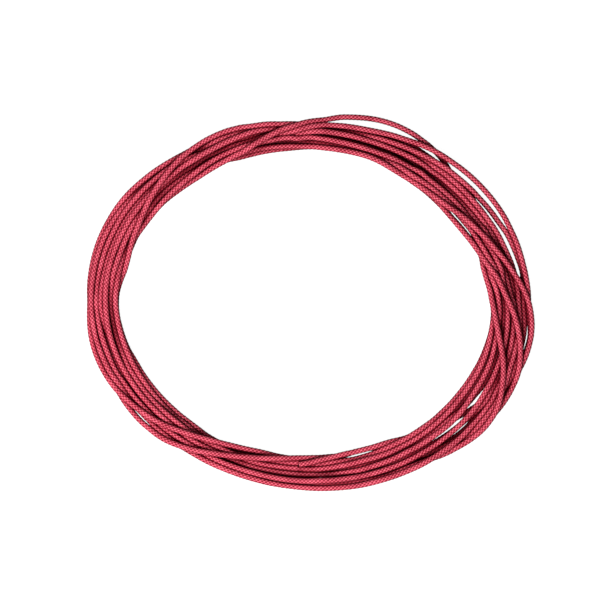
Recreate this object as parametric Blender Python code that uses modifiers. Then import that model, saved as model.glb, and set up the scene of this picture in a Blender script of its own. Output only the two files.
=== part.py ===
"""A loose hand-wound coil of racket string, lying flat.

The coil is an oval ring of about thirteen turns. The packed turns are one plain ring
of their outer shape. Each stretch that runs apart from the ring, or crosses over it
from the outer edge to the inner edge, is a tube of the string's own diameter. The free
end is built as the string is: a core filament inside a sleeve of wraps.

Metres, +Z up. The origin is under the middle of the coil, on the surface it lies on.
"""

import math

import bpy
import numpy as np

# ---------------------------------------------------------------- driving dimensions
STRING_D = 0.00130          # string diameter
GAP = 0.00030               # clearance between neighbouring solids
STEP = 0.000232             # lateral grid on which the routes are laid out
BUNDLE_H = 0.00260          # height of the packed turns: two strings
EDGE_R = 0.00095            # rounding of the packed bundle's edges
WRAP_WALL = 0.00019         # thickness of the wraps round the core
CORE_D = 0.00084            # core filament diameter
CORE_PROUD = 0.00020        # how far the core stands out of the cut wraps
SIDES_RES = 2               # bevel resolution of a tube: eight sides
RIDE_Z = BUNDLE_H + GAP + STRING_D / 2   # centre height of a stretch lying on the bundle
FLOOR_Z = STRING_D / 2 + 0.00005         # centre height of a stretch lying beside it

# The middle line of the coil is an ellipse: the coil's outer length and width, less half
# the band of packed turns at each end.
COIL_LENGTH = 0.1034
COIL_WIDTH = 0.0872
BAND_HALF = 0.0042
HALF_LENGTH = COIL_LENGTH / 2 - BAND_HALF
HALF_WIDTH = COIL_WIDTH / 2 - BAND_HALF
CENTRE_SHIFT = (-0.000586, -0.000069)     # brings the middle of the coil's box onto the origin

# Edges of the packed bundle, as (angle in degrees, offset from the middle line).
BUNDLE_OUTER = [
    (0, 12.0), (15, 14.5), (30, 13.5), (42, 11.5), (52, 10.5), (62, 13.5), (75, 11.0), (90, 9.5),
    (102, 12.5), (115, 17.5), (130, 14.8), (150, 18.6), (170, 17.0), (185, 15.5), (200, 15.0),
    (215, 13.0), (235, 14.2), (255, 15.8), (275, 17.4), (292, 18.6), (312, 17.8), (330, 17.0),
    (346, 15.5),
]
BUNDLE_INNER = [
    (0, -21.5), (16, -20.0), (30, -21.5), (45, -23.4), (60, -22.0), (75, -18.9), (92, -16.4),
    (108, -15.2), (120, -14.2), (135, -18.0), (152, -18.3), (167, -18.8), (180, -15.4),
    (196, -18.2), (212, -17.8), (230, -13.8), (242, -14.2), (258, -16.2), (272, -16.6),
    (290, -19.3), (306, -17.4), (322, -21.0), (338, -23.1), (350, -21.2),
]

# Routes of the stretches, as (angle, offset from the middle line, height share), where a
# height share of 0 lies on the surface beside the bundle and 1 lies on top of the bundle.
ROUTES = {
    "right_outer_turn": [
        (7, 20.6, 0), (12, 20.9, 0), (20, 21.7, 0), (28, 22.1, 0), (36, 21.1, 0), (42, 19.6, 0),
        (46, 18.2, 0),
    ],
    "top_right_loose_turn": [
        (51, 17.9, 0), (55, 19.8, 0), (60, 21.3, 0), (66, 21.8, 0), (71, 20.8, 0.14),
        (76, 18.8, 0.48), (81, 16.4, 0.88), (86, 13.6, 1), (90, 11.3, 1), (96, 6.9, 1),
        (102, 2.0, 1), (108, -3.3, 1), (113, -7.3, 1), (118, -10.2, 1),
    ],
    "crossing_turn_right_upper": [
        (351, 19.6, 1), (356, 18.9, 1), (0, 17.0, 1), (4, 13.1, 1), (10, 5.3, 1), (16, -1.6, 1),
        (22, -7.4, 1), (28, -11.7, 1), (34, -16.3, 1), (39, -19.2, 1),
    ],
    "crossing_turn_right_middle": [
        (337, 18.6, 1), (342, 17.0, 1), (346, 14.3, 1), (350, 10.5, 1), (354, 5.6, 1), (0, -2.5, 1),
        (6, -9.0, 1), (12, -15.0, 1), (18, -18.6, 1), (25, -20.0, 1),
    ],
    "crossing_turn_right_lower": [
        (320, 18.4, 1), (325, 18.9, 1), (330, 17.6, 1), (334, 13.8, 1), (340, 4.7, 1),
        (346, -4.9, 1), (351, -12.0, 1), (356, -16.8, 1), (1, -18.9, 1), (6, -19.4, 1),
    ],
    "crossing_turn_top_left": [
        (105, 12.4, 1), (111, 14.4, 1), (118, 15.8, 1), (124, 14.6, 1), (130, 11.3, 1),
        (137, 5.9, 1), (144, -0.5, 1), (151, -6.9, 1), (158, -12.1, 1), (163, -15.0, 1),
        (168, -16.6, 1),
    ],
    "crossing_turn_lower_left": [
        (186, 13.6, 1), (192, 14.6, 1), (198, 14.4, 1), (204, 12.9, 1), (212, 8.9, 1),
        (220, 3.0, 1), (228, -4.2, 1), (236, -9.5, 1), (241, -11.9, 1), (246, -13.0, 1),
    ],
    "crossing_turn_bottom_left": [
        (215, 14.2, 1), (220, 14.1, 1), (225, 12.6, 1), (230, 9.3, 1), (236, 3.4, 1),
        (243, -2.6, 1), (250, -7.3, 1), (256, -10.6, 1), (262, -13.1, 1),
    ],
}
FREE_END = [
    (266.5, -8.5, 1), (270, -10.8, 1), (274, -13.1, 1), (278, -15.0, 1), (282, -16.2, 1),
    (286, -16.9, 1), (290, -17.2, 1), (294, -17.1, 1), (298, -16.7, 1), (301, -16.2, 1),
]

COLOURS = {
    "string": (0.50, 0.045, 0.085, 1.0),
    "string_light": (0.62, 0.070, 0.120, 1.0),
    "core": (0.78, 0.52, 0.50, 1.0),
}


# ---------------------------------------------------------------- geometry helpers
def middle_radius(deg):
    a = np.radians(deg)
    return HALF_LENGTH * HALF_WIDTH / np.hypot(HALF_WIDTH * np.cos(a), HALF_LENGTH * np.sin(a)) / STEP


def smooth_through(knots, values, at):
    """A smooth curve through the values, without the overshoot of a free cubic."""
    h = np.diff(knots)
    slope = np.diff(values) / h
    m = np.zeros(len(knots))
    m[0], m[-1] = slope[0], slope[-1]
    for i in range(1, len(knots) - 1):
        m[i] = (slope[i - 1] * h[i] + slope[i] * h[i - 1]) / (h[i] + h[i - 1])
    i = np.clip(np.searchsorted(knots, at) - 1, 0, len(h) - 1)
    t = (at - knots[i]) / h[i]
    return (
        values[i] * (2 * t**3 - 3 * t**2 + 1)
        + m[i] * h[i] * (t**3 - 2 * t**2 + t)
        + values[i + 1] * (-2 * t**3 + 3 * t**2)
        + m[i + 1] * h[i] * (t**3 - t**2)
    )


def edge_offsets(table, deg):
    """An edge's offset by angle, periodic round the coil."""
    knots = np.array([a for a, _ in table], float)
    values = np.array([v for _, v in table], float)
    knots = np.concatenate([knots - 360, knots, knots + 360])
    return smooth_through(knots, np.tile(values, 3), deg)


def place(deg, offset, z):
    a = np.radians(deg)
    r = (middle_radius(deg) + offset) * STEP
    return np.stack([r * np.cos(a) + CENTRE_SHIFT[0], r * np.sin(a) + CENTRE_SHIFT[1], z], axis=1)


def route_points(route, spacing=2.3):
    """Points every few diameters on the smooth curve through a route's own points."""
    deg = np.array([a for a, _, _ in route], float)
    deg += 360 * np.cumsum(np.concatenate([[0], np.diff(deg) < -180]))
    offset = np.array([o for _, o, _ in route], float)
    share = np.array([s for _, _, s in route], float)
    fine = np.linspace(deg[0], deg[-1], 400)
    z = FLOOR_Z + (RIDE_Z - FLOOR_Z) * np.clip(smooth_through(deg, share, fine), 0, 1)
    line = place(fine, smooth_through(deg, offset, fine), z)
    along = np.concatenate([[0], np.cumsum(np.linalg.norm(np.diff(line, axis=0), axis=1))])
    n = max(6, int(round(along[-1] / (spacing * STRING_D))) + 1)
    at = np.linspace(0, along[-1], n)
    return np.stack([np.interp(at, along, line[:, k]) for k in range(3)], axis=1)


# ---------------------------------------------------------------- Blender helpers
def new_material(name, colour, roughness):
    mat = bpy.data.materials.new(name)
    mat.use_nodes = True
    shader = mat.node_tree.nodes["Principled BSDF"]
    shader.inputs["Base Color"].default_value = colour
    shader.inputs["Roughness"].default_value = roughness
    shader.inputs["Metallic"].default_value = 0.0
    mat.diffuse_color = colour
    return mat


def tube(name, points, diameter, collection, material, caps=True):
    """A string stretch: a curve with a round bevel and filled caps."""
    curve = bpy.data.curves.new(name, "CURVE")
    curve.dimensions = "3D"
    spline = curve.splines.new("POLY")
    spline.points.add(len(points) - 1)
    for p, co in zip(spline.points, points):
        p.co = (co[0], co[1], co[2], 1.0)
    spline.use_smooth = True
    curve.bevel_depth = diameter / 2
    curve.bevel_resolution = SIDES_RES
    curve.use_fill_caps = caps
    curve.twist_mode = "Z_UP"
    curve.materials.append(material)
    obj = bpy.data.objects.new(name, curve)
    collection.objects.link(obj)
    return obj


def as_mesh(obj):
    """Turns a curve object into a mesh object with the same name, place and material."""
    name, collections = obj.name, list(obj.users_collection)
    graph = bpy.context.evaluated_depsgraph_get()
    mesh = bpy.data.meshes.new_from_object(obj.evaluated_get(graph))
    made = bpy.data.objects.new(name + "_mesh", mesh)
    made.matrix_world = obj.matrix_world.copy()
    for c in collections:
        c.objects.link(made)
    bpy.data.objects.remove(obj, do_unlink=True)
    made.name = name
    return made


# ---------------------------------------------------------------- build
for old in list(bpy.data.objects):
    bpy.data.objects.remove(old, do_unlink=True)

coil = bpy.data.collections.new("racket_string_coil")
bpy.context.scene.collection.children.link(coil)

string_mat = new_material("string_coating", COLOURS["string"], 0.38)
light_mat = new_material("string_coating_top", COLOURS["string_light"], 0.38)
core_mat = new_material("string_core", COLOURS["core"], 0.45)

# The packed turns: a flat outline of two closed curves, given its height and round edges.
outline = bpy.data.curves.new("coil_bundle", "CURVE")
outline.dimensions = "2D"
outline.fill_mode = "BOTH"
outline.extrude = BUNDLE_H / 2 - EDGE_R
outline.bevel_depth = EDGE_R
outline.bevel_resolution = 1
outline.materials.append(string_mat)
for table, count, inset in ((BUNDLE_OUTER, 108, -1), (BUNDLE_INNER, 90, 1)):
    deg = np.arange(count) * 360.0 / count
    ring = place(deg, edge_offsets(table, deg) + inset * EDGE_R / STEP, np.zeros(count))
    spline = outline.splines.new("POLY")
    spline.points.add(count - 1)
    for p, co in zip(spline.points, ring):
        p.co = (co[0], co[1], 0.0, 1.0)
    spline.use_cyclic_u = True
bundle = bpy.data.objects.new("coil_bundle", outline)
bundle.location = (0.0, 0.0, BUNDLE_H / 2)
coil.objects.link(bundle)
bpy.context.view_layer.update()
bundle = as_mesh(bundle)
weld = bundle.modifiers.new("weld", "WELD")
weld.merge_threshold = 0.000001

# Stretches that run beside the bundle or cross over it.
for name, route in ROUTES.items():
    tube(name, route_points(route), STRING_D, coil, light_mat if "loose" in name else string_mat)

# The free end. Its parent empty stands on the line about which it lifts.
end_points = route_points(FREE_END, 1.6)
root, tip = end_points[-1], end_points[0]
hinge = bpy.data.objects.new("free_end_lift_axis", None)
hinge.location = root
coil.objects.link(hinge)
away = (end_points[-4] - root) / np.linalg.norm(end_points[-4] - root)
hinge.rotation_euler = (0.0, 0.0, math.atan2(away[1], away[0]))
bpy.context.view_layer.update()

wrap = tube("free_end_wrap", end_points, STRING_D, coil, light_mat, caps=False)
wrap = as_mesh(wrap)
sleeve = wrap.modifiers.new("sleeve", "SOLIDIFY")
sleeve.thickness = WRAP_WALL
sleeve.offset = -1.0
sleeve.use_rim = True
core_points = end_points.copy()
forward = (end_points[0] - end_points[1]) / np.linalg.norm(end_points[0] - end_points[1])
core_points[0] = end_points[0] + forward * CORE_PROUD
core = tube("free_end_core", core_points, CORE_D, coil, core_mat)
for part in (wrap, core):
    keep = part.matrix_world.copy()
    part.parent = hinge
    part.matrix_parent_inverse = hinge.matrix_world.inverted()
    part.matrix_world = keep

for obj in coil.objects:
    if obj.type == "MESH":
        obj.data.shade_smooth()
        obj.data.set_sharp_from_angle(angle=math.radians(50))
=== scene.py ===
"""Looks for the coil of racket string: one continuous braided string, wound by hand."""

import math
import re

import bpy
import numpy as np
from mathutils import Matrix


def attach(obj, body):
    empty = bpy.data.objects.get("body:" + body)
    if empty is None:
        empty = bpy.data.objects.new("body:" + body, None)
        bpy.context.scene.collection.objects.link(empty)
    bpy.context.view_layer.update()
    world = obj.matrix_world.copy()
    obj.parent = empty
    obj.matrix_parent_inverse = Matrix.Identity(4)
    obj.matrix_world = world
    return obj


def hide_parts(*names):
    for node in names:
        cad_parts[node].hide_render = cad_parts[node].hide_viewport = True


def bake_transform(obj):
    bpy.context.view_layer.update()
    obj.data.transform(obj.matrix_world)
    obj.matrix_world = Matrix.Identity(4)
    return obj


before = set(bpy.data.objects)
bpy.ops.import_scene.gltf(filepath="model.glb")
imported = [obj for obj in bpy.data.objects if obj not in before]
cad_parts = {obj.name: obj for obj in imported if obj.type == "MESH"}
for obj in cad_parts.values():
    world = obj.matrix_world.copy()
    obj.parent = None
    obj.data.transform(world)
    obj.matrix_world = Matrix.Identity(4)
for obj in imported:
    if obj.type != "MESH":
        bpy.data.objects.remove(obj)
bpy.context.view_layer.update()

# ------------------------------------------------------------------ sizes
STRING_D = 0.00130
STEP = 0.000232                 # lateral grid on which the turns are laid out
D = STRING_D / STEP             # the string's diameter on that grid
CENTRE = np.array([0.000165, 0.000039])
MEAN_RADIUS = 185.7
HARMONICS = {1: (-2.5, -1.3), 2: (16.8, -1.8), 3: (-1.5, -1.1), 4: (1.4, -1.15), 5: (0.2, -0.5)}

# ------------------------------------------------------------------ route of the string
# The string from its free end inwards, turn by turn: (angle, offset from the coil's
# middle line, height share). A height share holds until the next one is given. At a
# crossing the stretch with the larger share passes over the other.
TURNS = [
    # free end
    "(266,-8.3,4)(268,-9.3)(270,-10.5)(272,-11.8)(274,-13)(276,-14.1)(278,-15.1)(280,-15.9)"
    "(282,-16.5)(286,-17,3)(290,-17.3)(294,-17.2)(298,-16.8)(302,-16,1)(306,-15,0)(310,-13.2)"
    "(314,-11.8)(318,-11)(322,-11.5)(326,-12.3)(330,-13.3)(336,-14)(344,-14.8)(352,-15.2)(360,-15,0)",
    # 1
    "(0,-15,0)(8,-15.2)(14,-14.5)(20,-13.3)(28,-13)(34,-13.5)(44,-15)(60,-16)(75,-16)(85,-14.8)"
    "(95,-14,1)(98,-13.9)(102,-13.4)(106,-13)(110,-12.6)(114,-12.3)(118,-12,1)(122,-11.2,0)(130,-10)"
    "(145,-8)(160,-6)(180,-5)(200,-5.5)(220,-3)(240,2)(260,4.5)(280,5)(290,5)(300,4.6)(308,4.3)"
    "(318,3.6)(324,3.6)(330,3.5)(336,3)(342,1)(347,-.3)(354,0)(360,2,0)",
    # 2
    "(0,2,0)(6,3.2,0)(10,3.2,1)(14,2.8,1)(18,2,2)(22,1.5)(26,1.2)(30,1.2)(34,1)(38,.8)(42,.5)(46,0)"
    "(50,-.5)(54,-1)(58,-1.6)(62,-2)(66,-2)(70,-1.6)(74,-1)(78,-.5)(82,.3)(86,1.2)(90,2.1,2)(94,2.8,1)"
    "(100,3.8,0)(110,4.5)(120,5.5)(130,6.5,0)(138,7.5,1)(142,7.3,2)(146,7.2)(150,7)(154,7)(158,7.2)"
    "(162,7)(166,6.9)(170,6.5)(174,6.3)(180,6)(184,5.8)(188,5.5)(192,5.3)(196,5.2)(200,5.2)(204,5)"
    "(208,4.7)(212,4.2,2)(216,4.5,1)(220,5.6,1)(224,5.5,2)(228,5.5,2)(232,5.6,1)(236,6.5,1)(240,7,2)"
    "(246,7.3)(252,7.5)(258,7.8)(264,8)(270,8)(278,8)(284,8)(290,7.9)(296,7.7)(300,7.3)(304,6.7)"
    "(308,6)(312,5.1)(316,4.1)(320,3.2)(324,2.3)(328,1.2)(332,.1)(336,-1)(340,-2,2)(344,-2.7,1)"
    "(348,-3.1,2)(352,-3.5)(356,-3.7,2)(360,-4.1,1)",
    # 3
    "(0,-4.1,1)(3,-5.2,1)(6,-6,2)(8,-6)(10,-5.7)(12,-5.2)(14,-5.3)(16,-6,2)(18,-7,1)(22,-8,1)"
    "(26,-8.5,1)(28,-8.8,2)(30,-9)(34,-9.5)(38,-9.8)(42,-10)(46,-10.3)(50,-10.8)(54,-11)(58,-11)"
    "(62,-11)(66,-10.7)(70,-10.3)(74,-9.6)(78,-8.6)(82,-7.4)(86,-6.1)(90,-4.7)(94,-4)(98,-2.8)"
    "(102,-1.9,2)(106,-2.2,1)(110,-2.8,1)(114,-3.5,2)(118,-4.8)(122,-5.8)(126,-7.2)(130,-8.9)"
    "(134,-10.7)(138,-12.3)(142,-13.7)(146,-14.7)(150,-15.3)(154,-15.2,2)(158,-14.8,1)(164,-13,0)"
    "(168,-11.9,1)(172,-11.8,2)(176,-12,2)(180,-12.3,2)(184,-13)(188,-13.4)(192,-13.8)(196,-13.8)(200,-13.5)"
    "(204,-13)(210,-12)(214,-11.3)(218,-10.5)(222,-9.8,2)(226,-9,1)(232,-8,0)(240,-7.5,0)(248,-8,0)"
    "(254,-8.8,1)(258,-9)(262,-9.3)(266,-9.6)(270,-9.3)(274,-9.3)(280,-9.5)(284,-9.5)(288,-10.2)"
    "(292,-11)(296,-12)(300,-13)(304,-13.6)(308,-14.6)(312,-15.5)(316,-16.7)(320,-18.1)(324,-19)"
    "(328,-19.8)(332,-20.2)(338,-20.5,1)(344,-19.5,0)(350,-18)(360,-16.8,0)",
    # 4
    "(0,-16.8,0)(8,-14)(14,-10)(20,-5)(26,1)(31,6.5)(36,8.5)(45,8.5)(56,9)(66,8.5)(75,7)(88,6.5,0)(92,7.6,1)(96,8.8,1)"
    "(98,9.3,2)(100,10)(102,11)(104,12)(106,12.7)(108,13.4)(110,14.2)(112,15)(114,15.6)(116,16.1)"
    "(118,16)(120,15.7)(122,15.2)(124,14.5,3)(126,13.5)(128,12.5)(130,11.3)(132,10)(134,8.3)(136,6.8)"
    "(138,5)(140,3.2)(142,1.3)(144,-.5)(146,-2.3)(148,-4.2)(150,-6)(152,-7.9)(154,-9.5)(156,-11)"
    "(158,-12.1)(160,-13.3)(162,-14.6)(164,-15.7)(166,-16.7,2)(168,-17.2,1)(170,-17.1,1)(172,-16.2,1)"
    "(174,-15,0)(176,-13.9,0)(180,-12.2,0)(184,-12.8)(188,-13.8)(192,-14.7,0)(196,-15.4,1)(200,-16)"
    "(206,-16.1)(210,-15.7)(214,-15.1)(218,-14.4)(222,-13.5)(226,-12.5)(230,-11.5,1)(234,-10.9,0)"
    "(240,-10.3)(250,-9.5)(260,-8)(270,-6)(280,-4.3)(290,-3.6)(300,-4.4)(308,-5.2)(316,-6)(322,-6.2)"
    "(326,-6.6,0)(330,-7,1)(334,-6.7)(338,-7)(342,-7.7,1)(346,-8.3,0)(350,-7.8,1)(352,-7.6)(356,-7.8)"
    "(360,-8,1)",
    # 5
    "(0,-8,1)(4,-8.7,0)(8,-9.8,0)(12,-11.5,1)(14,-12.4)(18,-12.8)(22,-13.3,1)(26,-13.3,0)(30,-12.8,0)"
    "(34,-13,1)(38,-13.9)(42,-14.7)(46,-15.4)(50,-16.1)(54,-16.5)(58,-16.5)(62,-16.3)(66,-15.7)"
    "(70,-15)(74,-14)(78,-12.8)(82,-11.8)(86,-10.7)(90,-9.6)(94,-8.8)(98,-7.6)(102,-6.2)(106,-5.2,1)"
    "(112,-5.8,0)(118,-6.6)(126,-7.6,0)(132,-8,1)(138,-8,1)(142,-8,2)(146,-8.6,2)(150,-10.1,1)"
    "(156,-10,0)(164,-8)(172,-4)(180,0)(186,3)(192,6.5)(198,10,0)(203,12.3,1)(206,13.8,2)(208,14.8)"
    "(210,15.4)(214,15.8)(218,15.7)(220,15.3)(222,14.7)(224,13.8,3)(226,12.5)(228,11)(230,9.3)"
    "(232,7.5)(234,5.5)(236,3.4)(238,1.5)(240,-.2)(242,-1.8)(244,-3.2)(246,-4.6)(248,-6)(250,-7.3)"
    "(252,-8.4)(254,-9.5)(256,-10.5)(258,-11.5)(260,-12.3)(262,-13)(264,-13.7)(266,-14.2)(268,-14.6,3)"
    "(270,-14.8,2)(274,-15.2,1)(278,-16,1)(284,-17.2,0)(290,-17.4)(296,-16.5)(302,-14.5)(308,-11.5)"
    "(314,-8.8)(318,-6.9)(321,-5)(323,-3)(325,-.8)(327,1.2)(330,4)(334,8)(338,12.3)(342,16.5)"
    "(346,19.8)(350,21.3)(354,21)(358,19.4)(360,18.3,0)",
    # 6
    "(0,18.3,1)(4,18.4,2)(8,18.6)(12,19.4)(16,20.5)(20,21.4)(24,22)(28,22)(32,21.6)(36,21)(40,20)"
    "(44,18.7,2)(48,17.6,3)(50,17)(52,16.3)(54,15.4)(56,14.4)(58,13.3,3)(60,12.3,2)(64,11)(68,9.5)"
    "(72,8.4)(76,8)(80,7.7)(84,7)(88,5.7)(92,3.6)(96,1.9,2)(100,.9,1)(104,.8)(108,.6)(112,-.4)"
    "(116,-1)(120,-1.1)(126,-1.9)(130,-2.7)(134,-3.1)(138,-3.4)(142,-3.7,1)(146,-4.3,0)(150,-5.5,0)"
    "(154,-6.7,1)(158,-7.4,2)(162,-7.8)(166,-8)(170,-8)(176,-8)(180,-8)(184,-8)(188,-8.3)(192,-8.5)"
    "(196,-8.5)(200,-8.3)(204,-8)(210,-7.3)(214,-6.9)(218,-6.3,2)(222,-5.8,1)(226,-5.3,0)(230,-5,0)"
    "(234,-5,1)(238,-5.3,1)(242,-5,0)(246,-4,1)(250,-3.3,2)(254,-3.5)(258,-3.8)(264,-3.9)(270,-4.1)"
    "(276,-4.6)(284,-5.6)(290,-6.4)(296,-7.3)(300,-8)(304,-8.9)(308,-9.9)(312,-11)(316,-12.2)"
    "(320,-13.5)(324,-15)(328,-16.7)(332,-17.7)(338,-18)(342,-18.3)(346,-18.5,2)(350,-18.7,1)"
    "(354,-18.4,1)(358,-18,0)(360,-17.8,0)",
    # 7
    "(0,-17.8,0)(6,-15.5)(12,-10.5)(18,-4.5)(24,1)(28,4,0)(32,6,1)(36,7)(40,7.6)(42,8.7)(43,9.4)"
    "(44,10.6)(45.3,12.5)(47,14.3)(49,16)(51,17.3)(53,18.5,1)(55,19.4,2)(57,20.3)(59,21)(61,21.4)"
    "(63,21.7)(65,21.8)(67,21.6)(69,21.3)(71,20.7)(73,20)(75,19.1)(77,18.2)(79,17.3)(81,16.3)"
    "(83,14.9,3)(85,13.7,4)(87,12.4)(89,11.1)(91,9.8)(93,8.5)(95,7.2)(97,5.9)(99,4.7)(101,3.1)"
    "(103,1.4)(105,-.4)(107,-2.2)(109,-3.9)(111,-5.5)(113,-7.1)(115,-8.5)(117,-9.7)(119,-10.8)"
    "(121,-11.6)(123,-12.3)(125,-13)(127,-13.7,4)(129,-14.3,3)(131,-14.9,2)(133,-15.3,1)(136,-15.6,1)"
    "(142,-15.5,0)(148,-15)(156,-14.5)(164,-15)(172,-14)(178,-12)(186,-11)(196,-9)(208,-5)(220,0)"
    "(232,6)(244,10)(256,12)(270,13)(284,15)(296,16)(304,16.3)(310,17.3,0)(312,18,1)(314,18.7,2)"
    "(316,19.6)(318,20.4)(320,21)(322,21.3)(324,21.3,2)(326,20.9,3)(328,20)(330,18.5)(332,16.4)"
    "(334,13.6)(336,10.7)(338,7.8)(340,4.8)(342,1.7)(344,-1.5)(346,-4.8)(348,-8)(350,-10.9)"
    "(352,-13.2)(354,-15.2)(356,-16.8)(358,-18.1)(360,-18.9,3)",
    # 8
    "(0,-18.9,2)(4,-19.6)(8,-20)(10,-19.8,2)(12,-19.3,1)(14,-18)(16,-17.3,0)(18,-17.5)(20,-18.5)(24,-21.2)(30,-21.8)"
    "(36,-21.6)(44,-20.8)(52,-19.5)(60,-16.5)(70,-12.5)(80,-8.5)(90,-4.5)(100,0)(110,5)(118,9)"
    "(124,11,0)(128,11.6,1)(132,12.6,1)(136,13.4,2)(140,14.3)(144,15)(148,15.8)(152,16.4)(156,16.7)"
    "(160,16.8)(164,16.6)(168,16.1,2)(172,15.2,1)(176,14)(180,13.1)(183,13.8,1)(186,15.2,2)(188,16)"
    "(190,16.5)(193,16.8)(196,16.5,2)(198,16.1,3)(200,15.4)(202,14.5)(204,13.5)(206,12.5)(208,11.4)"
    "(210,10.2)(212,8.9)(214,7.5)(216,6.1)(218,4.6)(220,2.9)(222,1)(224,-.9)(226,-2.7)(228,-4.3)"
    "(230,-5.8)(232,-7.1)(234,-8.4)(236,-9.6)(238,-10.6)(240,-11.5)(244,-12.7)(248,-13.5,3)"
    "(252,-14,2)(256,-14,1)(262,-13,0)(270,-10.5)(280,-5)(290,1)(300,7)(308,10.8)(316,13.8)"
    "(322,16.8,0)(326,18.8,1)(329,20,1)(332,20.4,2)(336,20.1)(340,18.9,2)(342,17.7,3)(344,16.2)"
    "(346,14.5)(348,12.7)(350,10.5)(352,8.1)(354,5.6)(356,3)(358,.4)(360,-2.4,3)",
    # 9
    "(0,-2.4,3)(2,-5)(4,-7)(6,-9)(8,-11)(10,-13.2)(12,-15)(14,-16.5)(16,-17.6)(18,-18.7)(20,-19.5)"
    "(22,-20.3)(24,-21)(26,-21.5)(28,-21.8)(30,-22,3)(32,-22,2)(36,-21.9,1)(42,-21,0)(50,-19.5)"
    "(60,-14.5)(70,-10)(80,-5)(90,0)(100,5)(110,8.5)(120,10.5)(128,11)(134,10.8)(138,10.8,0)"
    "(142,10.9,1)(150,11.6)(154,12,1)(158,12.4,2)(162,12.6)(166,12.7)(170,12.6)(174,12.4)(180,12.2)"
    "(184,12)(188,11.8)(192,11.3)(196,10.9)(200,10.6,2)(204,9.8,1)(208,9.3)(212,9.2,1)(216,9.7,2)"
    "(218,10.1)(222,10.3,2)(226,10.4,1)(230,11,1)(234,11.5,2)(238,12)(242,12.4)(246,12.8)(252,13.3)"
    "(258,13.8)(264,14)(270,14.4)(276,14.9)(284,15.8)(290,16.2)(296,16.3)(300,16)(304,15.8)"
    "(308,15.4)(312,14.8)(316,14)(320,13)(324,11.9)(328,10.7)(332,9.4,2)(336,8,1)(340,6.9,1)"
    "(342,6,2)(344,4.6)(346,3.7)(348,3.3)(350,3)(352,2.8,2)(354,2.6,1)(358,2,1)(360,1.4,2)",
    # 10
    "(0,1.4,2)(2,.2)(4,-.4)(6,-.7)(8,-.8,2)(10,-.8,1)(14,-1.2)(18,-2,1)(22,-3.3,2)(26,-4)(30,-4.6)"
    "(34,-4.9)(38,-5.1)(42,-5.3,2)(46,-5.4,1)(50,-5.3,1)(54,-4.8,0)(60,-4)(70,-2)(80,1)(90,5.5)"
    "(98,9,0)(104,11,1)(108,10.8)(112,10.6)(116,10.6)(120,10.4)(124,9.4)(128,7.8)(132,6.1)"
    "(136,4.6,1)(140,3.7,0)(146,3.3,1)(152,2.8)(158,2)(164,1.6)(170,1.6,1)(176,1.3,0)(184,.8)(196,1)"
    "(210,3)(225,6)(240,9)(255,11)(268,12)(280,12.3)(290,12.4)(300,12)(308,11.3)(314,11)(320,10.7)"
    "(324,10)(328,9.6)(332,10.5)(336,13,0)(340,14.6,1)(344,14.6)(350,14.7,1)(354,14.7,2)(358,14.1)"
    "(360,13.4,2)",
    # 11
    "(0,13.4,1)(4,14.2,0)(8,15.8,0)(12,16.4,1)(16,16.4,1)(20,15.9,2)(22,15.2)(24,14.5)(26,14)"
    "(28,13.4)(30,12.9)(34,12.2)(38,11.3)(42,10.3)(46,9)(50,7.7)(54,6.5)(58,5.4)(62,4.4)(66,3.7,2)"
    "(70,3.2,1)(76,3,1)(82,3,0)(88,4.5)(94,6.8,0)(98,8,1)(102,8.6,1)(106,8.1,2)(110,7.4)(114,6.7)"
    "(118,5.6)(122,4.3)(126,3.3)(130,2.5)(134,1.7)(138,.3,2)(142,-.8,1)(146,-1,1)(150,-.8,2)"
    "(154,-1.3)(158,-1.6)(162,-1.8)(170,-2)(180,-2)(188,-2.3)(196,-2.7)(204,-2.8)(210,-2.6)"
    "(216,-2.4,2)(220,-2.2,1)(224,-1.3,1)(228,0,2)(232,.3,2)(236,.2,1)(240,.8)(244,1.5,1)(248,1.9,2)"
    "(254,2)(262,2)(270,2)(278,1.9)(284,1.5)(290,1)(296,.3)(300,-.5)(304,-1.4)(308,-2.1)(312,-2.9)"
    "(316,-4)(320,-5)(324,-6.4)(328,-8.2)(332,-9.6)(336,-10.3)(340,-10.9)(344,-11.6)(348,-12.6,2)"
    "(352,-13,1)(356,-12.7,2)(360,-12.5,2)",
    # 12
    "(0,-12.5,2)(4,-13.2,1)(8,-14.3,1)(14,-14,0)(20,-12.9)(28,-12)(40,-11)(54,-8)(68,-5)(82,-2)"
    "(96,2)(110,3)(125,3)(140,4)(155,5)(170,7)(185,8)(200,7)(214,6)(226,7)(240,10.5)(256,13)"
    "(270,13.5)(284,14.5)(296,15)(304,15,0)(310,15.8,1)(314,17.2)(318,17.4)(322,17)(326,16.2)"
    "(330,14.9)(336,12.4)(340,10.6,1)(342,9.8,2)(344,9.4)(346,9.1,2)(348,8.9,1)(352,9,1)(356,9,2)"
    "(360,8.5,2)",
    # 13
    "(0,8.5,2)(4,8.4,1)(8,8.5,1)(10,8.4,2)(14,7.6)(18,7)(22,6.5)(26,6)(30,5.6,2)(34,5.3,1)(38,5)"
    "(42,4.6,1)(46,3.9,0)(52,2.8)(60,2)(72,3.5)(86,5)(100,6)(114,8)(130,9)(146,9.5)(162,10)"
    "(180,9.5)(196,8.5)(212,8)(226,8)(240,9.5)(256,10.5)(272,10)(288,10.5)(300,12)(312,14)"
    "(320,16.5)(328,18)(336,18.5)(341,18.6,0)(344,19.5,1)(346,20.3,1)(348,20.9,2)(350,21.3)"
    "(352,21.4)(354,21,2)(356,20.2,3)(358,19)(360,17.6,3)",
    # 14
    "(0,17.6,3)(2,15.5)(4,13)(6,10.5)(8,7.8)(10,5.2)(12,2.8)(14,.4)(16,-1.9)(18,-3.9)(20,-5.7)"
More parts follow.
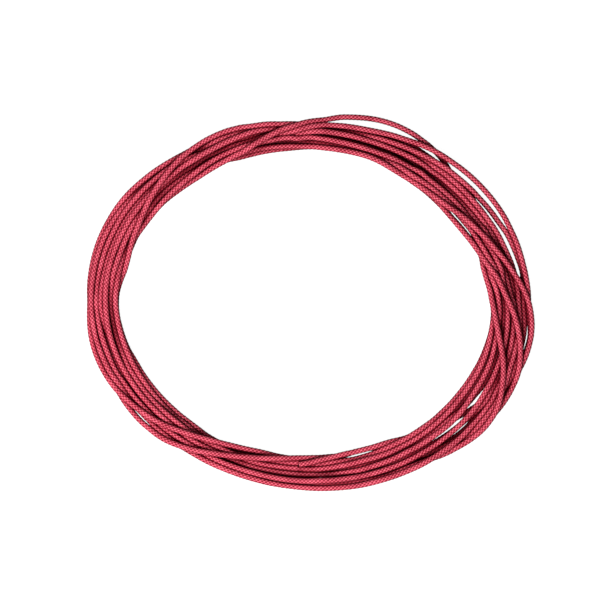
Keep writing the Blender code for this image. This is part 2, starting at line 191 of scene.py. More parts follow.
    "(22,-7.4)(24,-9)(26,-10.4)(28,-11.8)(30,-13.3)(32,-14.9)(34,-16.5)(36,-17.8)(38,-18.8)"
    "(40,-19.6)(44,-20.6)(48,-20.9)(52,-20.8)(56,-20.2,3)(60,-19.3,2)(64,-18.2)(68,-17.3)(74,-16.7)"
    "(78,-16.2)(82,-15.5)(86,-14.8)(90,-13.9)(94,-13)(98,-12)(102,-11)(106,-10.1)(110,-9.6,2)"
    "(114,-9.6,1)(120,-10.5,0)(130,-12)(142,-12.5)(154,-12)(166,-11)(178,-9)(190,-7)(200,-6,0)",
]

# Gaps between turns through which the surface below shows: (angle, inner, outer offset).
SLITS = [
    [(6.7, 13.3, 13.5), (8, 12.5, 14.0), (14, 11.9, 13.5), (20, 10.6, 12.2), (26, 8.9, 10.0), (29.5, 9.2, 9.6)],
    [(20.5, 18.0, 18.2), (24, 16.9, 18.6), (30, 15.8, 19.0), (36, 14.3, 18.0), (42, 12.8, 16.7), (43.2, 13.0, 16.2), (45.2, 15.0, 15.2)],
    [(57, 16.6, 17.0), (60, 15.4, 18.1), (62, 14.9, 18.4), (66, 13.5, 18.6), (70, 12.5, 17.9), (74, 11.7, 16.7), (78, 11.3, 14.9),
     (80, 11.2, 14.1), (82, 11.3, 12.6), (83.5, 11.4, 11.6)],
    [(48, 12.3, 12.5), (50, 11.6, 13.4), (54.5, 11.9, 12.4)],
    [(21.5, -16.6, -16.4), (24, -17.3, -16.2), (28, -18.3, -17.2), (32, -19.1, -18.7)],
    [(212, 12.7, 12.9), (215, 12.3, 13.5), (217.5, 12.8, 13.0)],
    [(283.5, -13.4, -13.2), (287, -14.3, -13.1), (292, -14.4, -14.2)],
    [(310.5, -0.2, 0.0), (316, -1.1, 0.4), (320, -1.9, 0.1), (322.5, -1.5, -1.1)],
    [(315, 6.9, 7.1), (319, 6.2, 7.2), (323, 6.2, 6.4)],
    [(327, -2.8, -2.4), (330, -3.8, -2.6), (332.6, -3.9, -3.6)],
    [(347, 16.8, 17.0), (350, 16.8, 17.9), (353.5, 17.4, 17.6)],
]


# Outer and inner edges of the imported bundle, as (angle, offset). Turns that are out of
# sight stay between them.
OUTER_EDGE = (
    "(0,20)(3,15)(6,12)(8,11.2)(14,10.2)(20,9.4)(26,8.3)(34,8)(42,7.6)(45,9)(48,15)(51,18.6)(54,18.2)(57,16.6)"
    "(60,15.1)(64,13.8)(68,12.3)(72,11)(76,10.8)(80,10.5)(84,9.8)(90,9.5)(95,10.2)(100,11.8)(105,14.5)(110,17)"
    "(115,18.6)(120,18.3)(125,16.8)(129.5,14.3)(135,15.8)(142,17.3)(150,18.8)(158,19.3)(165,18.6)(172,17.3)"
    "(178,15.9)(181,15.8)(186,17.8)(192,19.4)(198,18.7)(203,16.8)(206,15.6)(210,17.7)(216,18.4)(221,17)"
    "(226,14.2)(229,13.2)(235,14)(245,15)(255,15.9)(265,16.6)(275,17.4)(285,18.6)(295,18.9)(305,18)(310,18.3)"
    "(316,21)(322,24)(326,23.6)(329,21.6)(334,22.5)(339,21)(342.5,19)(347,22)(351,23.8)(355,23)(358,21)"
)
INNER_EDGE = (
    "(0,-21.5)(6,-22.3)(12,-21.5)(16,-20)(20,-21.5)(30,-24.3)(36,-24.3)(44,-23.7)(50,-23.7)(56,-23)(60,-22.2)"
    "(66,-20)(70,-19.3)(76,-18.8)(84,-17.5)(90,-16.7)(96,-16.6)(102,-16)(110,-15.2)(118,-14.3)(122,-14)"
    "(128,-16.7)(134,-18.2)(140,-18.4)(146,-17.7)(152,-18.2)(160,-17.6)(166,-19.3)(170,-19.5)(174,-18)"
    "(178,-15.6)(182,-15.3)(188,-16.8)(194,-17.8)(200,-18.6)(208,-18.5)(216,-17.3)(224,-15.5)(232,-13.3)"
    "(237,-12.2)(242,-13.8)(250,-15.8)(256,-16.4)(262,-16)(268,-16.8)(276,-16.3)(284,-18.8)(292,-19.8)"
    "(300,-19)(306,-17)(312,-18.4)(320,-20.8)(328,-22.6)(336,-23.2)(344,-22.8)(352,-21)(357,-20.2)"
)


def edge(table, deg):
    pts = [[float(v) for v in item.split(",")] for item in re.findall(r"\(([^)]*)\)", table)]
    a = np.array([p[0] for p in pts])
    v = np.array([p[1] for p in pts])
    return np.interp(deg % 360, np.concatenate([a - 360, a, a + 360]), np.tile(v, 3))


def middle_radius(deg):
    a = np.radians(deg)
    r = np.full_like(a, MEAN_RADIUS, dtype=float)
    for k, (c, s) in HARMONICS.items():
        r += c * np.cos(k * a) + s * np.sin(k * a)
    return r


def smooth_through(knots, values, at):
    """A smooth curve through the values, with no overshoot between two of them."""
    h = np.diff(knots)
    slope = np.diff(values) / h
    m = np.zeros(len(knots))
    m[0], m[-1] = slope[0], slope[-1]
    a, b = slope[:-1], slope[1:]
    m[1:-1] = (a * h[1:] + b * h[:-1]) / (h[1:] + h[:-1])
    i = np.clip(np.searchsorted(knots, at, side="right") - 1, 0, len(h) - 1)
    t = (at - knots[i]) / h[i]
    return (
        values[i] * (2 * t**3 - 3 * t**2 + 1)
        + m[i] * h[i] * (t**3 - 2 * t**2 + t)
        + values[i + 1] * (-2 * t**3 + 3 * t**2)
        + m[i + 1] * h[i] * (t**3 - t**2)
    )


def route_knots():
    ang, off, share = [], [], []
    for k, text in enumerate(TURNS):
        h = 0.0
        for item in re.findall(r"\(([^)]*)\)", text):
            v = [float(x) for x in item.split(",")]
            if len(v) == 3:
                h = v[2]
            if ang and v[0] + 360 * k <= ang[-1] + 1e-6:
                share[-1] = max(share[-1], h)
                continue
            ang.append(v[0] + 360 * k)
            off.append(v[1])
            share.append(h)
    return np.array(ang), np.array(off), np.array(share)


def slit_bounds(deg):
    """For each angle, a list of (inner, outer) offsets kept clear of string."""
    out = []
    for slit in SLITS:
        a = [p[0] for p in slit]
        lo = np.interp(deg, a, [p[1] for p in slit], left=np.nan, right=np.nan)
        hi = np.interp(deg, a, [p[2] for p in slit], left=np.nan, right=np.nan)
        out.append((lo, hi))
    return out


SNUG = 0.97                     # how near two strands come, in diameters: their ridges interlock


def who_is_over(want, share, station, turn, n_turn):
    """+1 at a station where the first turn of a pair lies over the second. Along a stretch
    where two turns overlap the same one stays on top, as they can't pass through each other."""
    over = np.zeros((360, n_turn, n_turn))
    for lag in range(1, n_turn):
        m = len(want) - 360 * lag
        if m <= 0:
            break
        w = want[:m] - want[360 * lag :]
        d = share[:m] - share[360 * lag :]
        o = np.where(np.abs(d) > 0.3, np.sign(d), 0.0)
        seen = np.clip(np.maximum(share[:m], share[360 * lag :]), 0, 1)
        ends = np.flatnonzero(np.diff(np.concatenate([[0], (np.abs(w) < 0.8 * D).astype(int), [0]])))
        for a, b in zip(ends[::2], ends[1::2]):
            vote = (o[a:b] * seen[a:b]).sum()
            if vote:
                o[a:b] = np.sign(vote)
            elif w[a:b].min() < 0 < w[a:b].max():
                o[a:b] = 1.0
        over[station[:m], turn[:m], turn[360 * lag :]] = o
        over[station[:m], turn[360 * lag :], turn[:m]] = -o
    return over


def settle(rounds=900):
    """Lays the turns down: each keeps to its route, rests on what is under it, and bends gently."""
    ang, off, share = route_knots()
    first, last = math.ceil(ang[0]), math.floor(ang[-1])
    at = np.arange(first, last + 1, dtype=float)
    want = smooth_through(ang, off, at)
    height = np.interp(at, ang, share)
    turn = (np.arange(first, last + 1) // 360).astype(int)
    station = (np.arange(first, last + 1) % 360).astype(int)
    n_turn = len(TURNS)
    index = np.full((360, n_turn), -1)
    index[station, turn] = np.arange(len(at))
    there = index >= 0
    slot = np.where(there, index, 0)
    H = np.where(there, height[slot], 0.0)
    over = who_is_over(want, height, station, turn, n_turn)
    pair = there[:, :, None] & there[:, None, :] & ~np.eye(n_turn, dtype=bool)[None]
    bounds = slit_bounds(station.astype(float))
    all_round = slit_bounds(np.arange(360.0))
    hidden = height < 1.0
    slack = np.where(hidden, 0.0, 0.6)
    most = np.maximum(edge(OUTER_EDGE, station.astype(float)) - D / 2, np.where(hidden, -99.0, want)) + slack
    least = np.minimum(edge(INNER_EDGE, station.astype(float)) + D / 2, np.where(hidden, 99.0, want)) - slack
    beyond = (want > most + 1.5) | (want < least - 1.5)
    most = np.where(beyond, np.maximum(most, want), most)
    least = np.where(beyond, np.minimum(least, want), least)
    hold = np.where(height >= 1.0, 0.06, np.where(height > 0.3, 0.03, 0.008))

    # first heights: drop the strands at each station in order of their share
    z = np.full(len(at), D / 2)
    for s in range(360):
        ks = [k for k in range(n_turn) if there[s, k]]
        ks.sort(key=lambda k: (H[s, k], k))
        placed = []
        for k in ks:
            i = index[s, k]
            zz = D / 2
            for j in placed:
                dx = abs(want[i] - want[j])
                if dx < D and H[s, k] > 0.3 + height[j]:
                    zz = max(zz, z[j] + math.sqrt(D * D - dx * dx))
            z[i] = zz
            placed.append(i)
    x = want.copy()

    def smooth(v, weight):
        out = v.copy()
        out[1:-1] += weight * (0.5 * (v[:-2] + v[2:]) - v[1:-1])
        return out

    for it in range(rounds):
        late = it / rounds
        if late < 0.97:
            for _ in range(4 if late < 0.85 else 1):
                z = smooth(z, 0.8 if late < 0.85 else 0.3)
                x = want + smooth(x - want, 0.8 if late < 0.85 else 0.3)
            z -= 0.04 if late < 0.7 else 0.015
            x += hold * (want - x)
        for _ in range(2):
            X, Z = x[slot], z[slot]
            dx = X[:, :, None] - X[:, None, :]
            dz = Z[:, :, None] - Z[:, None, :]
            dist = np.sqrt(dx * dx + dz * dz) + 1e-9
            near = pair & (dist < D * SNUG)
            # a pair in its right order pushes along the line between the two, as any contact
            ordered = near & (over != 0) & (np.abs(dx) < 0.8 * D) & (over * dz < 0.45 * D)
            need = np.sqrt(np.clip((D * SNUG) ** 2 - dx * dx, 0, None))
            lift = np.where(ordered, over * np.clip(need - over * dz, 0, None), 0.0)
            free = near & ~ordered
            gap = np.where(free, D * SNUG - dist, 0.0)
            push_x = gap * dx / dist
            push_z = gap * dz / dist
            # two strands at the same place slide apart sideways
            same = free & (dist < 0.3)
            push_x = np.where(same, 0.4 * np.sign(np.arange(n_turn)[:, None] - np.arange(n_turn)[None, :]), push_x)
            move_x = 0.25 * push_x.sum(axis=2) + 0.0
            move_z = 0.25 * (push_z.sum(axis=2)) + 0.3 * lift.sum(axis=2)
            move_x = np.clip(move_x, -0.5, 0.5)
            move_z = np.clip(move_z, -0.8, 0.8)
            np.add.at(x, index[there], move_x[there])
            np.add.at(z, index[there], move_z[there])
            z = np.maximum(z, D / 2 + 0.2)
        x = np.clip(x, least, most)
        for lo, hi in bounds:
            inside = ~np.isnan(lo)
            mid = 0.5 * (lo + hi)
            outer = inside & (want >= mid)
            inner = inside & (want < mid)
            x[outer] = np.maximum(x[outer], hi[outer] + D / 2)
            x[inner] = np.minimum(x[inner], lo[inner] - D / 2)
        # neighbours with a sliver of daylight between them lie together
        X = np.where(there, x[slot], np.inf)
        order = np.argsort(X, axis=1)
        row = np.sort(X, axis=1)
        with np.errstate(invalid="ignore"):
            sliver = row[:, 1:] - row[:, :-1] - D * (SNUG - 0.05)
            middle = 0.5 * (row[:, 1:] + row[:, :-1])
        for k in range(n_turn - 1):
            shut = (sliver[:, k] > 0) & (sliver[:, k] < 1.2)
            for lo, hi in all_round:
                shut &= ~((middle[:, k] > lo - 0.8) & (middle[:, k] < hi + 0.8))
            s = np.nonzero(shut)[0]
            one, two = index[s, order[s, k]], index[s, order[s, k + 1]]
            pull = sliver[s, k]
            np.add.at(x, one, np.where(hidden[one], 0.45, 0.18) * pull)
            np.add.at(x, two, -np.where(hidden[two], 0.45, 0.18) * pull)
    for _ in range(2):
        x = want + smooth(x - want, 0.5)
        z = smooth(z, 0.5)
    return at, x, z, want, height, index


# ------------------------------------------------------------------ end of route
LAY = 0.0046                    # length in which a wrap goes once round
RIDGES = 5
AROUND = 20                     # rows of vertices round the string
RELIEF = 0.000026               # ridge height over the mean surface
RING = 0.00032                  # distance between rings


def to_world(at, x, z):
    a = np.radians(at)
    r = (middle_radius(at) + x) * STEP
    return np.stack([r * np.cos(a) + CENTRE[0], r * np.sin(a) + CENTRE[1], z * STEP], axis=1)


def arc(points):
    return np.concatenate([[0], np.cumsum(np.linalg.norm(np.diff(points, axis=0), axis=1))])


def resampled(points, spacing):
    s = arc(points)
    n = max(3, int(round(s[-1] / spacing)) + 1)
    at = np.linspace(0, s[-1], n)
    out = np.stack([smooth_through(s, points[:, k], at) for k in range(3)], axis=1)
    return out


def string_rings(line, s0):
    """Ring vertices of the braided string along a line, with the wraps' ridges running round it."""
    t = np.gradient(line, axis=0)
    t /= np.linalg.norm(t, axis=1)[:, None]
    side = np.cross(t, np.array([0.0, 0.0, 1.0]))
    side /= np.linalg.norm(side, axis=1)[:, None]
    up = np.cross(side, t)
    s = s0 + arc(line)
    j = np.arange(AROUND)
    phase = 2 * np.pi * (j[None, :] / AROUND + s[:, None] / LAY)
    # ridges swell and thin a little along the string, as bundles of filament do
    ridge = np.cos(2 * np.pi * RIDGES * j / AROUND)[None, :]
    swell = 1.0 + 0.35 * np.sin(s[:, None] * 2 * np.pi / 0.0037 + 2.4 * j[None, :]) \
        + 0.25 * np.sin(s[:, None] * 2 * np.pi / 0.0113 + 1.3 * j[None, :])
    radius = STRING_D / 2 + 0.25 * RELIEF + RELIEF * ridge * swell
    ring = line[:, None, :] + radius[:, :, None] * (
        np.cos(phase)[:, :, None] * up[:, None, :] - np.sin(phase)[:, :, None] * side[:, None, :]
    )
    return ring, s, phase


def string_mesh(name, line, s0, cut_start=False):
    """One closed mesh tube of the string, with the maps that its material and its bake read."""
    ring, s, phase = string_rings(line, s0)
    if cut_start:
        # at the cut each bundle of filament ends at its own length, and the rim is rounded
        back = (line[0] - line[1]) / np.linalg.norm(line[0] - line[1])
        ragged = 0.00009 * np.sin(1.7 * np.arange(AROUND)) + 0.00007 * np.sin(3.1 * np.arange(AROUND) + 1.0)
        for k, (fit, fray) in enumerate(((0.80, 1.0), (0.95, 0.4))):
            ring[k] = line[k] + fit * (ring[k] - line[k]) + fray * ragged[:, None] * back
    n = len(line)
    verts = np.concatenate([ring.reshape(-1, 3), line[:1], line[-1:]])
    i = np.arange(n - 1)[:, None]
    j = np.arange(AROUND)[None, :]
    jn = (j + 1) % AROUND
    quads = np.stack([i * AROUND + j, i * AROUND + jn, (i + 1) * AROUND + jn, (i + 1) * AROUND + j], axis=2).reshape(-1, 4)
    first, last = n * AROUND, n * AROUND + 1
    jj = np.arange(AROUND)
    cap_a = np.stack([np.full(AROUND, first), (jj + 1) % AROUND, jj], axis=1)
    base = (n - 1) * AROUND
    cap_b = np.stack([np.full(AROUND, last), base + jj, base + (jj + 1) % AROUND], axis=1)
    mesh = bpy.data.meshes.new(name)
    loops = np.concatenate([quads.ravel(), cap_a.ravel(), cap_b.ravel()])
    starts = np.concatenate([np.arange(len(quads)) * 4, len(quads) * 4 + np.arange(2 * AROUND) * 3])
    totals = np.concatenate([np.full(len(quads), 4), np.full(2 * AROUND, 3)])
    mesh.vertices.add(len(verts))
    mesh.vertices.foreach_set("co", verts.astype(np.float32).ravel())
    mesh.loops.add(len(loops))
    mesh.loops.foreach_set("vertex_index", loops.astype(np.int32))
    mesh.polygons.add(len(starts))
    mesh.polygons.foreach_set("loop_start", starts.astype(np.int32))
    mesh.polygons.foreach_set("loop_total", totals.astype(np.int32))
    mesh.update(calc_edges=True)
    # pattern map: u along the string in units of the lay, v once round the string
    ii = np.repeat(np.arange(n - 1), AROUND)
    jq = np.tile(np.arange(AROUND), n - 1)
    turn = phase / (2 * np.pi)
    corner_i = np.stack([ii, ii, ii + 1, ii + 1], axis=1)
    corner_j = np.stack([jq, jq + 1, jq + 1, jq], axis=1)
    around = corner_j / AROUND + s[corner_i] / LAY
    around = around - np.floor(around.min(axis=1, keepdims=True))
    u = s[corner_i] / LAY
    pattern = np.zeros((len(loops), 2))
    pattern[: len(quads) * 4] = np.stack([u, around], axis=2).reshape(-1, 2)
    pattern[len(quads) * 4 : len(quads) * 4 + 3 * AROUND, 0] = s[0] / LAY
    pattern[len(quads) * 4 + 3 * AROUND :, 0] = s[-1] / LAY
    # bake map: the tube cut into strips that are laid side by side
    length = s[-1] - s[0]
    tall = np.pi * STRING_D
    strips = max(1, int(math.ceil(math.sqrt(length / tall))))
    per = int(math.ceil((n - 1) / strips))
    strips = int(math.ceil((n - 1) / per))
    strip = corner_i[:, 0] // per
    within = (corner_i - (strip * per)[:, None]) / per
    across = corner_j / AROUND
    bake = np.zeros((len(loops), 2))
    bu = 0.004 + 0.992 * within
    bv = (strip[:, None] + 0.05 + 0.90 * across) / strips * 0.985
    bake[: len(quads) * 4] = np.stack([bu, bv], axis=2).reshape(-1, 2)
    disc = np.stack([np.cos(2 * np.pi * jj / AROUND), np.sin(2 * np.pi * jj / AROUND)], axis=1)
    for c, where in enumerate((0.02, 0.06)):
        centre = np.array([where, 0.9925])
        block = np.zeros((AROUND, 3, 2))
        block[:, 0] = centre
        one, two = disc[(jj + (1 if c == 0 else 0)) % AROUND], disc[(jj + (0 if c == 0 else 1)) % AROUND]
        block[:, 1] = centre + 0.0055 * one
        block[:, 2] = centre + 0.0055 * two
        at = len(quads) * 4 + c * 3 * AROUND
        bake[at : at + 3 * AROUND] = block.reshape(-1, 2)
    for layer, values in (("String", pattern), ("OFBake", bake)):
        uv = mesh.uv_layers.new(name=layer)
        uv.data.foreach_set("uv", values.astype(np.float32).ravel())
    mesh.polygons.foreach_set("use_smooth", np.concatenate([np.ones(len(quads), bool), np.zeros(2 * AROUND, bool)]))
    mesh.validate()
    obj = bpy.data.objects.new(name, mesh)
    bpy.context.scene.collection.objects.link(obj)
    return obj


# ------------------------------------------------------------------ camera, lights, floor
scene = bpy.context.scene
scene.view_settings.view_transform = "Standard"
cam_data = bpy.data.cameras.new("camera")
cam_data.sensor_width = 36.0
CAM_H = 0.90
VIEW = 600 * STEP
cam_data.lens = 36.0 * (CAM_H - 0.0025) / VIEW
cam = bpy.data.objects.new("camera", cam_data)
cam.location = (CENTRE[0] - 11 * STEP, CENTRE[1] + 2 * STEP, CAM_H)
scene.collection.objects.link(cam)
scene.camera = cam

world = bpy.data.worlds.new("studio")
scene.world = world
world.use_nodes = True
world.node_tree.nodes["Background"].inputs["Color"].default_value = (1.0, 1.0, 1.0, 1.0)
# the wall behind looks pale, and lights the object only a little
sky_sight = world.node_tree.nodes.new("ShaderNodeLightPath")
sky = world.node_tree.nodes.new("ShaderNodeMath")
sky.operation = "MULTIPLY_ADD"
sky.inputs[1].default_value = 0.90
sky.inputs[2].default_value = 0.05
world.node_tree.links.new(sky_sight.outputs["Is Camera Ray"], sky.inputs[0])
world.node_tree.links.new(sky.outputs[0], world.node_tree.nodes["Background"].inputs["Strength"])


def area_light(name, at, towards, size, power, colour=(1, 1, 1)):
    data = bpy.data.lights.new(name, "AREA")
    data.shape = "SQUARE"
    data.size = size
    data.energy = power
    data.color = colour
    obj = bpy.data.objects.new(name, data)
    obj.location = at
    direction = np.array(towards, float) - np.array(at, float)
    from mathutils import Vector

    obj.rotation_euler = Vector(direction).to_track_quat("-Z", "Y").to_euler()
    scene.collection.objects.link(obj)
    return obj


area_light("key", (-0.13, -0.24, 0.46), (0, 0, 0), 0.22, 3.8)
area_light("side", (-0.40, 0.06, 0.30), (0, 0, 0), 0.20, 1.0)
area_light("top", (0.05, 0.10, 0.70), (0, 0, 0), 0.3, 0.6)

bpy.ops.mesh.primitive_plane_add(size=3.0, location=(0, 0, -0.00002))
floor = bpy.context.object
floor.name = "floor"
floor_mat = bpy.data.materials.new("floor")
floor_mat.use_nodes = True
shader = floor_mat.node_tree.nodes["Principled BSDF"]
shader.inputs["Base Color"].default_value = (0.16, 0.16, 0.16, 1.0)
shader.inputs["Roughness"].default_value = 1.0
shader.inputs["Specular IOR Level"].default_value = 0.0
shader.inputs["Emission Color"].default_value = (1.0, 1.0, 1.0, 1.0)
# the sweep is lit apart from the object: it looks white and throws little light back
sight = floor_mat.node_tree.nodes.new("ShaderNodeLightPath")
glow = floor_mat.node_tree.nodes.new("ShaderNodeMath")
glow.operation = "MULTIPLY"
glow.inputs[1].default_value = 0.96
floor_mat.node_tree.links.new(sight.outputs["Is Camera Ray"], glow.inputs[0])
floor_mat.node_tree.links.new(glow.outputs[0], shader.inputs["Emission Strength"])
floor.data.materials.append(floor_mat)

# ------------------------------------------------------------------ the string
at, x, z, want, height, index = settle()
line_all = to_world(at, x, z)


def node(nt, kind, **inputs):
    n = nt.nodes.new(kind)
    for key, value in inputs.items():
        if hasattr(n, key):
            setattr(n, key, value)
    return n


def maths(nt, operation, a, b=None, clamp=False):
    n = nt.nodes.new("ShaderNodeMath")
    n.operation = operation
    n.use_clamp = clamp
    for k, v in enumerate((a, b)):
        if v is None:
            continue
        if isinstance(v, (int, float)):
            n.inputs[k].default_value = v
        else:
            nt.links.new(v, n.inputs[k])
    return n.outputs[0]


def string_material():
    """Fine filament bundles wrapped both ways round the string, under a thin satin coating; its colour carries painted
    shade in the valleys, between turns and on the flanks, and painted highlight on the ridge tops.
    """
    mat = bpy.data.materials.new("string")
    mat.use_nodes = True
    nt = mat.node_tree
    link = nt.links.new
    p = nt.nodes["Principled BSDF"]
    p.inputs["Specular IOR Level"].default_value = 0.12
    p.inputs["Specular Tint"].default_value = (1.0, 0.34, 0.42, 1.0)
    uv = node(nt, "ShaderNodeUVMap")
    uv.uv_map = "String"
    xyz = nt.nodes.new("ShaderNodeSeparateXYZ")
    link(uv.outputs["UV"], xyz.inputs[0])
    u, v = xyz.outputs[0], xyz.outputs[1]
    along = maths(nt, "SUBTRACT", v, u)            # constant along a ridge
    against = maths(nt, "ADD", v, u)               # constant along the counter wrap
    ridge = maths(nt, "COSINE", maths(nt, "MULTIPLY", along, 2 * math.pi * RIDGES))
    counter = maths(nt, "COSINE", maths(nt, "MULTIPLY", against, 2 * math.pi * RIDGES))
    # filaments lie along the ridges: a pattern fine across them and long along them
    turn = maths(nt, "MULTIPLY", along, 2 * math.pi)
    vec = nt.nodes.new("ShaderNodeCombineXYZ")
    link(maths(nt, "MULTIPLY", maths(nt, "COSINE", turn), 6.5), vec.inputs[0])
    link(maths(nt, "MULTIPLY", maths(nt, "SINE", turn), 6.5), vec.inputs[1])
    link(maths(nt, "MULTIPLY", u, 1.6), vec.inputs[2])
    filament = nt.nodes.new("ShaderNodeTexNoise")
    filament.inputs["Scale"].default_value = 2.2
    filament.inputs["Detail"].default_value = 3.0
    link(vec.outputs[0], filament.inputs["Vector"])
    # slow changes of tone along the string
    spot = nt.nodes.new("ShaderNodeCombineXYZ")
    link(maths(nt, "MULTIPLY", u, 0.9), spot.inputs[0])
    slow = nt.nodes.new("ShaderNodeTexNoise")
    slow.inputs["Scale"].default_value = 1.0
    slow.inputs["Detail"].default_value = 2.0
    link(spot.outputs[0], slow.inputs["Vector"])
    # height of the surface, 0 in the valleys and 1 on the ridges
    h = maths(nt, "ADD", maths(nt, "MULTIPLY", ridge, 0.13), 0.53)
    h = maths(nt, "ADD", h, maths(nt, "MULTIPLY", counter, 0.10))
    h = maths(nt, "ADD", h, maths(nt, "MULTIPLY", maths(nt, "SUBTRACT", filament.outputs["Fac"], 0.5), 0.50))
    h = maths(nt, "ADD", h, maths(nt, "MULTIPLY", maths(nt, "SUBTRACT", slow.outputs["Fac"], 0.5), 0.25), clamp=True)
    # colour from the height: filament streaks and slow changes along the string are the string's own tone, while the
    # valleys are painted darker as shade and the ridge tops painted bright pink as highlight
    ramp = nt.nodes.new("ShaderNodeValToRGB")
    e = ramp.color_ramp.elements
    e[0].position, e[0].color = 0.15, (0.050, 0.0005, 0.003, 1.0)
    e[1].position, e[1].color = 0.82, (0.95, 0.170, 0.240, 1.0)
    m = e.new(0.42)
    m.color = (0.25, 0.008, 0.022, 1.0)
    link(h, ramp.inputs["Fac"])
    # painted shade: the colour is multiplied darker where turns lie against each other and hide the sky, and on the
    # strands' flanks
    attr = nt.nodes.new("ShaderNodeAttribute")
    attr.attribute_name = "PaintedShade"
    painted_shade_mix = nt.nodes.new("ShaderNodeMix")
    painted_shade_mix.data_type = "RGBA"
    painted_shade_mix.blend_type = "MULTIPLY"
    painted_shade_mix.inputs["Factor"].default_value = 1.0
    tone = nt.nodes.new("ShaderNodeValToRGB")
    t = tone.color_ramp.elements
    t[0].position, t[0].color = 0.10, (0.07, 0.002, 0.010, 1.0)
    t[1].position, t[1].color = 0.86, (1.0, 1.0, 1.0, 1.0)
    half = t.new(0.48)
    half.color = (0.38, 0.14, 0.19, 1.0)
    link(attr.outputs["Fac"], tone.inputs["Fac"])
    link(ramp.outputs["Color"], painted_shade_mix.inputs["A"])
    link(tone.outputs["Color"], painted_shade_mix.inputs["B"])
    link(painted_shade_mix.outputs["Result"], p.inputs["Base Color"])
    rough = maths(nt, "SUBTRACT", 0.58, maths(nt, "MULTIPLY", h, 0.20))
    link(rough, p.inputs["Roughness"])
    bump = nt.nodes.new("ShaderNodeBump")
    bump.inputs["Strength"].default_value = 0.55
    bump.inputs["Distance"].default_value = 0.00004
    link(h, bump.inputs["Height"])
    link(bump.outputs["Normal"], p.inputs["Normal"])
    return mat


def painted_shade_factor(at, x, z, index):
    """How much of the sky each side of each strand sees, past the other strands at its station, times a darkening of
    the flanks: the factor by which the string's colour is painted darker as shade.
    """
    n_dir = 16
    phi = 2 * np.pi * np.arange(n_dir) / n_dir          # 0 up, growing towards the coil's middle
    out = np.ones((len(at), n_dir))
    rays = np.radians([-75, -50, -25, 0, 25, 50, 75])
    stations = (np.round(at).astype(int)) % 360
    ks = index[stations]                                 # the strands at each strand's station
    there = ks >= 0
    X, Z = np.where(there, x[ks], 1e6), np.where(there, z[ks], 1e6)
    me = np.arange(len(at))
    other = ks != me[:, None]
    px = x[:, None] - 1.0 * D / 2 * np.sin(phi)[None, :]
    pz = z[:, None] + 1.0 * D / 2 * np.cos(phi)[None, :]
    nx, nz = -np.sin(phi), np.cos(phi)
    total, seen = np.zeros((len(at), n_dir)), np.zeros((len(at), n_dir))
    for r in rays:
        dx, dz = -math.sin(r), math.cos(r)
        facing = np.clip(nx * dx + nz * dz, 0, None)
        ox = X[:, None, :] - px[:, :, None]
        oz = Z[:, None, :] - pz[:, :, None]
        fwd = ox * dx + oz * dz
        miss = np.abs(ox * dz - oz * dx)
        hit = (other[:, None, :] & there[:, None, :] & (fwd > 0.15 * D) & (miss < 0.5 * D)).any(axis=2)
        total += 0.35 * math.cos(r)
        seen += np.where(hit, 0.0, 0.35 * math.cos(r))
        total += facing[None, :] * 0.65
        seen += np.where(hit, 0.0, facing[None, :] * 0.65)
    # painted shade: the flanks of a round string see less of the studio than its top, so they are painted darker than
    # the top
    sky = seen / np.maximum(total, 1e-6)
    lean = np.clip((np.cos(phi) - 0.36) / 0.44, 0, 1)
    lean = (lean * lean * (3 - 2 * lean))[None, :]
    return sky * (lean + (1 - lean) * (0.12 + 0.50 * sky))


string_mat = string_material()
# painted shade for each side of each strand, multiplied into the string's colour
painted_shade_all = painted_shade_factor(at, x, z, index)
s_all = arc(line_all)
print("string length m", s_all[-1])
cuts = [np.searchsorted(at, 314), np.searchsorted(at, 360 * 5 + 160), np.searchsorted(at, 360 * 10 + 60), len(at) - 1]
pieces = []
fine = resampled(line_all, RING)
s_fine = arc(fine)
bounds_s = [0.0] + [s_all[c] for c in cuts]
for k in range(len(cuts)):
    a = int(np.searchsorted(s_fine, bounds_s[k]))
    b = int(np.searchsorted(s_fine, bounds_s[k + 1])) + 1
    b = min(b, len(fine))
    seg = fine[a:b]
    name = "string_free_end" if k == 0 else f"string_turns_{k}"
    obj = string_mesh(name, seg, s_fine[a], cut_start=(k == 0))
    # the painted shade of each vertex (how much sky it sees, and how far it lies on a flank), from its strand's
    # station and its direction round the string
    ss = s_fine[a] + arc(seg)
    frac = np.interp(ss, s_all, np.arange(len(s_all)))
    lo = np.clip(np.floor(frac).astype(int), 0, len(s_all) - 2)
    w = (frac - lo)[:, None]
    rows = painted_shade_all[lo] * (1 - w) + painted_shade_all[lo + 1] * w
    turn = (np.arange(AROUND)[None, :] / AROUND + ss[:, None] / LAY) % 1.0 * 16
    i0 = np.floor(turn).astype(int) % 16
    f0 = turn - np.floor(turn)
    r_i = np.arange(len(seg))[:, None]
    vals = rows[r_i, i0] * (1 - f0) + rows[r_i, (i0 + 1) % 16] * f0
    values = np.concatenate([vals.ravel(), [1.0, 1.0]])
    # painted shade factor, read by the string material to darken its colour
    attr = obj.data.attributes.new("PaintedShade", "FLOAT", "POINT")
    attr.data.foreach_set("value", values.astype(np.float32))
    obj.data.materials.append(string_mat)
    pieces.append((obj, seg, s_fine[b - 1] - s_fine[a]))



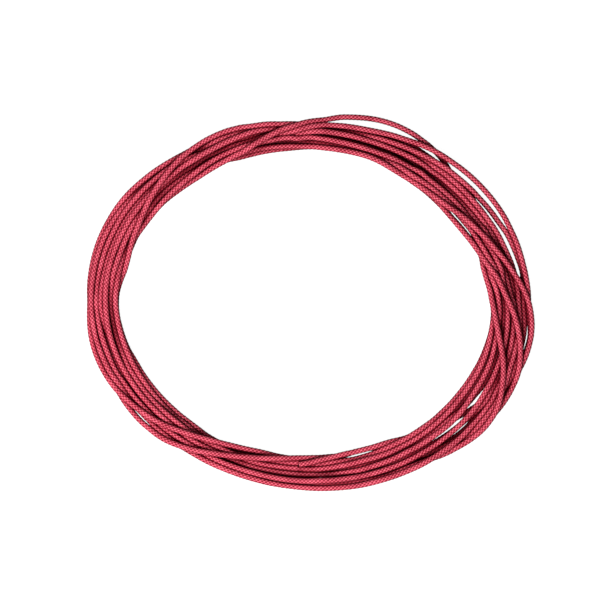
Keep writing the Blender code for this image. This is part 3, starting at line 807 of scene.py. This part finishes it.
def core_material():
    """The cut face of the core: packed filament ends, stained by the string's colour."""
    mat = bpy.data.materials.new("core")
    mat.use_nodes = True
    nt = mat.node_tree
    p = nt.nodes["Principled BSDF"]
    p.inputs["Specular IOR Level"].default_value = 0.3
    p.inputs["Roughness"].default_value = 0.7
    place = nt.nodes.new("ShaderNodeTexCoord")
    cells = nt.nodes.new("ShaderNodeTexVoronoi")
    cells.inputs["Scale"].default_value = 9000.0
    nt.links.new(place.outputs["Object"], cells.inputs["Vector"])
    ramp = nt.nodes.new("ShaderNodeValToRGB")
    e = ramp.color_ramp.elements
    e[0].position, e[0].color = 0.10, (0.66, 0.26, 0.28, 1.0)
    e[1].position, e[1].color = 0.75, (0.20, 0.02, 0.04, 1.0)
    nt.links.new(cells.outputs["Distance"], ramp.inputs["Fac"])
    nt.links.new(ramp.outputs["Color"], p.inputs["Base Color"])
    bump = nt.nodes.new("ShaderNodeBump")
    bump.inputs["Strength"].default_value = 0.6
    bump.inputs["Distance"].default_value = 0.00002
    bump.invert = True
    nt.links.new(cells.outputs["Distance"], bump.inputs["Height"])
    nt.links.new(bump.outputs["Normal"], p.inputs["Normal"])
    return mat


def core_plug(name, line):
    """The core's short end, standing a little out of the cut wrap."""
    back = (line[0] - line[2]) / np.linalg.norm(line[0] - line[2])
    side = np.cross(back, (0.0, 0.0, 1.0))
    side /= np.linalg.norm(side)
    up = np.cross(side, back)
    n = 40
    profile = [(-0.00060, 0.00034), (0.00008, 0.00034), (0.00013, 0.00032), (0.00016, 0.00027), (0.00018, 0.00018), (0.00019, 0.00008)]
    a = 2 * np.pi * np.arange(n) / n
    verts = []
    for out, r in profile:
        wave = r * (1 + 0.06 * np.sin(5 * a + 900 * out) + 0.03 * np.sin(11 * a))
        verts.append(line[0] + out * back + wave[:, None] * (np.cos(a)[:, None] * side + np.sin(a)[:, None] * up))
    verts = np.concatenate(verts + [(line[0] - 0.00060 * back)[None], (line[0] + 0.000192 * back)[None]])
    m = len(profile)
    faces = []
    for k in range(m - 1):
        for j in range(n):
            jn = (j + 1) % n
            faces.append((k * n + j, (k + 1) * n + j, (k + 1) * n + jn, k * n + jn))
    for j in range(n):
        jn = (j + 1) % n
        faces.append((m * n, j, jn))
        faces.append((m * n + 1, (m - 1) * n + jn, (m - 1) * n + j))
    mesh = bpy.data.meshes.new(name)
    mesh.from_pydata([tuple(v) for v in verts], [], faces)
    mesh.validate()
    mesh.polygons.foreach_set("use_smooth", [True] * len(mesh.polygons))
    obj = bpy.data.objects.new(name, mesh)
    scene.collection.objects.link(obj)
    bpy.context.view_layer.objects.active = obj
    obj.select_set(True)
    bpy.ops.object.mode_set(mode="EDIT")
    bpy.ops.mesh.select_all(action="SELECT")
    bpy.ops.mesh.normals_make_consistent(inside=False)
    bpy.ops.object.mode_set(mode="OBJECT")
    obj.select_set(False)
    obj.data.materials.append(core_material())
    return obj


core = core_plug("string_free_end_core", pieces[0][1])
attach(core, "free_end")
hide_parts("free_end_core")

for k, (obj, seg, length) in enumerate(pieces):
    if k == 0:
        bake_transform(obj)
    else:
        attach(obj, "coil")
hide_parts("free_end_wrap")
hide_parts("coil_bundle", "right_outer_turn", "top_right_loose_turn", "crossing_turn_right_upper",
            "crossing_turn_right_middle", "crossing_turn_right_lower", "crossing_turn_top_left",
            "crossing_turn_lower_left", "crossing_turn_bottom_left")
